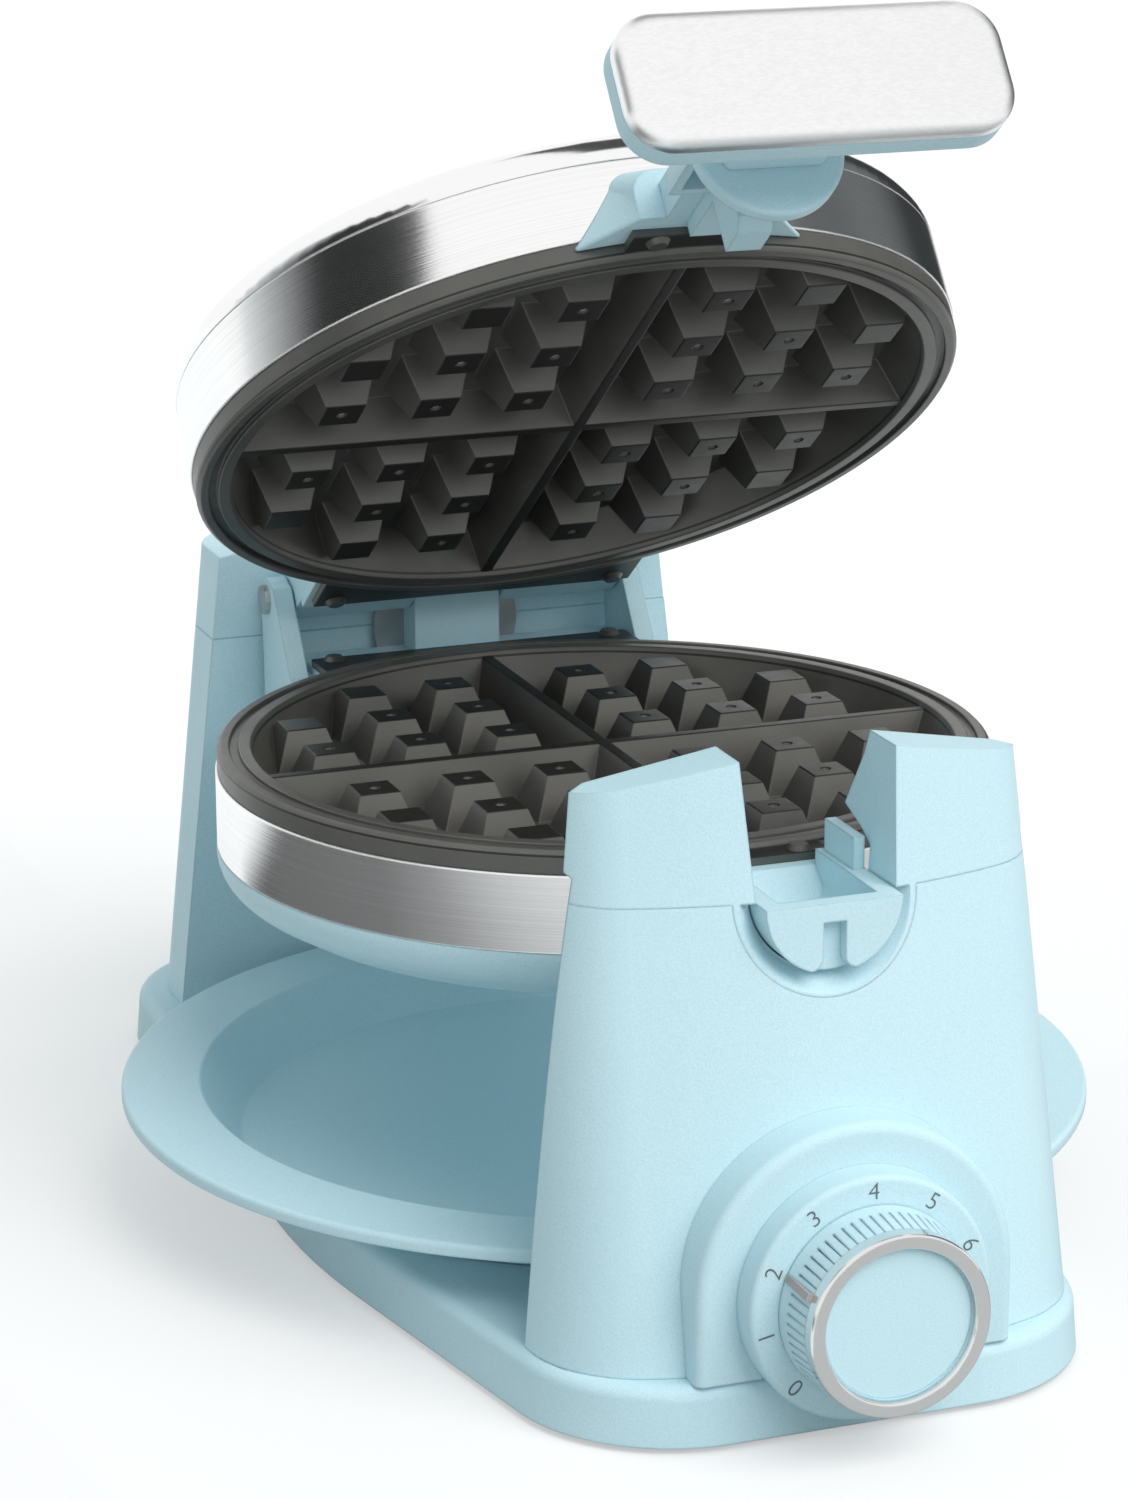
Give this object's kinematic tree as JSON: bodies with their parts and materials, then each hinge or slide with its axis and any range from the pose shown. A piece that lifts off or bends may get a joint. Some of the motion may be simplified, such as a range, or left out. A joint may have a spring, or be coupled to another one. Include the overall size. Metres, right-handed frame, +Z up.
{
  "type": "rotating waffle maker",
  "caption": "Rotating waffle maker, lid open: pale blue base and towers, round steel-banded head with deep waffle plates, bar handle, drip tray and dial.",
  "frame": {"origin": "on the floor under the middle of the overall length and width", "axes": "+Z up, -Y towards the dial and handle, +X to the right seen from the dial"},
  "size_m": [0.262, 0.381, 0.3328],
  "materials": {
    "blue_plastic": "satin moulded",
    "base_plastic": "matt moulded",
    "rubber": "matt",
    "fastener_steel": "plain",
    "band_steel": "brushed round the band",
    "cover_steel": "polished",
    "handle_steel": "satin",
    "ring_chrome": "bright",
    "nonstick_plate": "non-stick coated",
    "heater_tube": "heat-darkened",
    "reflector_sheet": "bright sheet",
    "bearing_plastic": "plain",
    "control_plastic": "moulded",
    "nut_brass": "plain",
    "terminal_plastic": "plain"
  },
  "bodies": {
    "base": {"base_housing": "blue_plastic", "base_cover": "base_plastic", "rubber_feet": "rubber", "base_screws": "fastener_steel", "tower_screws": "fastener_steel", "front_tower": "blue_plastic", "front_cap": "blue_plastic", "rear_tower": "blue_plastic", "rear_cap": "blue_plastic", "cap_screws": "fastener_steel", "rear_bearing": "bearing_plastic", "thermostat": "control_plastic", "thermostat_nut": "nut_brass", "terminal_block": "terminal_plastic", "cord_gland": "rubber"},
    "head": {"lower_plate": "nonstick_plate", "lower_band": "band_steel", "lower_shell": "blue_plastic", "lower_heater": "heater_tube", "lower_reflector": "reflector_sheet", "lower_plate_rivets": "fastener_steel", "front_trunnion": "blue_plastic", "hinge_bracket": "blue_plastic", "hinge_pin": "fastener_steel", "rear_trunnion": "fastener_steel"},
    "lid": {"lid_plate": "nonstick_plate", "lid_band": "band_steel", "lid_cover": "cover_steel", "lid_heater": "heater_tube", "lid_reflector": "reflector_sheet", "lid_plate_rivets": "fastener_steel", "lid_bracket": "blue_plastic", "lid_hinge": "blue_plastic", "handle_grip": "blue_plastic", "handle_plate": "handle_steel", "handle_screws": "fastener_steel"},
    "knob": {"knob_body": "blue_plastic", "knob_ring": "ring_chrome", "knob_cap": "blue_plastic", "knob_pointer": "ring_chrome", "knob_shaft": "fastener_steel"},
    "tray": {"drip_tray": "blue_plastic"}
  },
  "joints": [
    {"name": "head_flip", "type": "hinge", "parent": "base", "child": "head", "pos_m": [0, 0.0045, 0.1273], "axis": [0, -1, 0], "range_deg": [0, 80]},
    {"name": "lid_hinge", "type": "hinge", "parent": "head", "child": "lid", "pos_m": [0, 0.1308, 0.1398], "axis": [-1, 0, 0], "range_deg": [-36.8, 8]},
    {"name": "knob_turn", "type": "hinge", "parent": "base", "child": "knob", "pos_m": [0, -0.1755, 0.0365], "axis": [0, 1, 0], "range_deg": [-67.5, 135]},
    {"name": "tray_slide", "type": "slide", "parent": "base", "child": "tray", "axis": [1, 0, 0], "range_m": [0, 0.24]}
  ]
}
